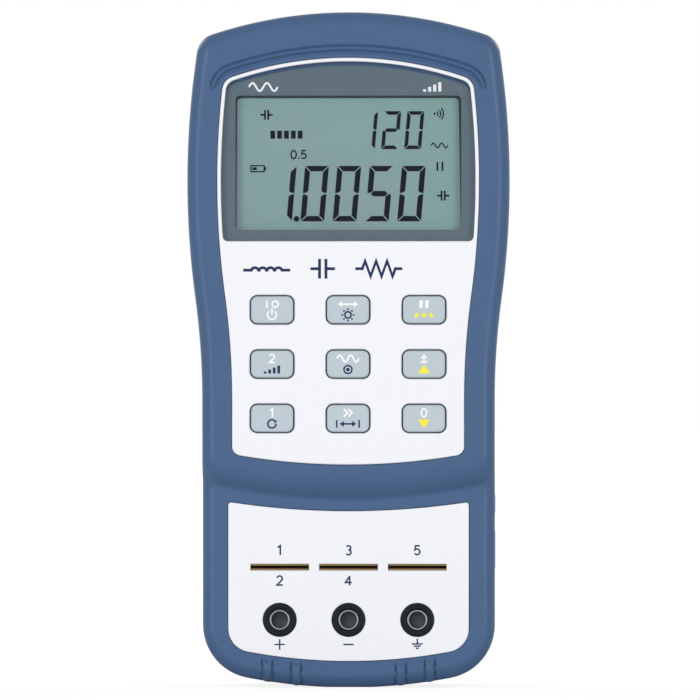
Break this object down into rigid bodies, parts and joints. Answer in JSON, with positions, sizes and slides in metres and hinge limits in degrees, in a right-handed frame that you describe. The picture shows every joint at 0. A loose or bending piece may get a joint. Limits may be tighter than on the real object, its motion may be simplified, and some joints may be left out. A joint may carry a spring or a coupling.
{
  "type": "lcr meter",
  "caption": "Handheld LCR meter with a display window, press keys, test slots and test jacks on its face, port covers on its sides and a tilt stand on its back.",
  "frame": {"origin": "middle of the box of the meter, at the bottom edge that it stands on", "axes": "+Z along the length towards the display end, +X to the right of someone who reads the face, +Y out of the back"},
  "size_m": [0.0892, 0.0406, 0.1868],
  "materials": {
    "blue_plastic": "satin moulded plastic with a fine texture",
    "white_plastic": "smooth white plastic",
    "key_rubber": "matte grey rubber with printed signs",
    "clear_plastic": "clear moulded window",
    "mask_print": "grey printed border",
    "display_glass": "grey green liquid crystal with dark segments",
    "light_guide": "milky light guide",
    "holder_plastic": "plain moulded plastic",
    "soft_rubber": "dark soft rubber",
    "cover_rubber": "soft blue rubber",
    "board_laminate": "green lacquered laminate",
    "black_plastic": "black moulded plastic",
    "gold_contact": "gold plated spring metal",
    "plated_metal": "bright nickel plate",
    "screw_steel": "plain zinc plated steel",
    "battery_can": "plain dark painted can"
  },
  "bodies": {
    "case": {"front_case": "blue_plastic", "rear_case": "blue_plastic", "battery_door": "blue_plastic", "upper_face_plate": "white_plastic", "terminal_face_plate": "white_plastic", "display_window": "clear_plastic", "display_mask": "mask_print", "display_glass": "display_glass", "display_backlight": "light_guide", "display_holder": "holder_plastic", "contact_strip_upper": "soft_rubber", "contact_strip_lower": "soft_rubber", "key_mat": "soft_rubber", "circuit_board": "board_laminate", "slot_block": "black_plastic", "contact_plus_upper": "gold_contact", "contact_plus_lower": "gold_contact", "contact_minus_upper": "gold_contact", "contact_minus_lower": "gold_contact", "contact_guard_upper": "gold_contact", "contact_guard_lower": "gold_contact", "jack_insulator_plus": "black_plastic", "jack_insulator_minus": "black_plastic", "jack_insulator_guard": "black_plastic", "jack_sleeve_plus": "plated_metal", "jack_sleeve_minus": "plated_metal", "jack_sleeve_guard": "plated_metal", "data_socket": "plated_metal", "power_socket": "black_plastic", "battery": "battery_can", "battery_snap": "soft_rubber", "case_screw_upper_left": "screw_steel", "case_screw_upper_right": "screw_steel", "case_screw_lower_left": "screw_steel", "case_screw_lower_right": "screw_steel", "board_screw_upper_left": "screw_steel", "board_screw_upper_right": "screw_steel", "board_screw_lower_left": "screw_steel", "board_screw_lower_right": "screw_steel", "door_screw_left": "screw_steel", "door_screw_right": "screw_steel", "processor": "black_plastic", "measuring_chip": "black_plastic", "range_relay": "white_plastic", "buzzer": "black_plastic", "crystal": "plated_metal"},
    "power_key": {"key_power": "key_rubber"},
    "light_key": {"key_light": "key_rubber"},
    "hold_key": {"key_hold": "key_rubber"},
    "second_key": {"key_second": "key_rubber"},
    "wave_key": {"key_wave": "key_rubber"},
    "up_key": {"key_up": "key_rubber"},
    "first_key": {"key_first": "key_rubber"},
    "rate_key": {"key_rate": "key_rubber"},
    "down_key": {"key_down": "key_rubber"},
    "stand": {"tilt_stand": "blue_plastic"},
    "data_cover": {"data_port_cover": "cover_rubber"},
    "power_cover": {"power_port_cover": "cover_rubber"}
  },
  "joints": [
    {"name": "power_key_press", "type": "slide", "parent": "case", "child": "power_key", "axis": [0, 1, 0], "range_m": [0, 0.0012], "stiffness_N_per_m": 700},
    {"name": "light_key_press", "type": "slide", "parent": "case", "child": "light_key", "axis": [0, 1, 0], "range_m": [0, 0.0012], "stiffness_N_per_m": 700},
    {"name": "hold_key_press", "type": "slide", "parent": "case", "child": "hold_key", "axis": [0, 1, 0], "range_m": [0, 0.0012], "stiffness_N_per_m": 700},
    {"name": "second_key_press", "type": "slide", "parent": "case", "child": "second_key", "axis": [0, 1, 0], "range_m": [0, 0.0012], "stiffness_N_per_m": 700},
    {"name": "wave_key_press", "type": "slide", "parent": "case", "child": "wave_key", "axis": [0, 1, 0], "range_m": [0, 0.0012], "stiffness_N_per_m": 700},
    {"name": "up_key_press", "type": "slide", "parent": "case", "child": "up_key", "axis": [0, 1, 0], "range_m": [0, 0.0012], "stiffness_N_per_m": 700},
    {"name": "first_key_press", "type": "slide", "parent": "case", "child": "first_key", "axis": [0, 1, 0], "range_m": [0, 0.0012], "stiffness_N_per_m": 700},
    {"name": "rate_key_press", "type": "slide", "parent": "case", "child": "rate_key", "axis": [0, 1, 0], "range_m": [0, 0.0012], "stiffness_N_per_m": 700},
    {"name": "down_key_press", "type": "slide", "parent": "case", "child": "down_key", "axis": [0, 1, 0], "range_m": [0, 0.0012], "stiffness_N_per_m": 700},
    {"name": "stand_hinge", "type": "hinge", "parent": "case", "child": "stand", "pos_m": [0, 0.01835, 0.117], "axis": [1, 0, 0], "range_deg": [0, 60]},
    {"name": "data_cover_hinge", "type": "hinge", "parent": "case", "child": "data_cover", "pos_m": [0.0396, -0.00445, 0.0329], "axis": [0, 1, 0], "range_deg": [0, 90]},
    {"name": "power_cover_hinge", "type": "hinge", "parent": "case", "child": "power_cover", "pos_m": [-0.0396, -0.00445, 0.0404], "axis": [0, -1, 0], "range_deg": [0, 90]}
  ]
}
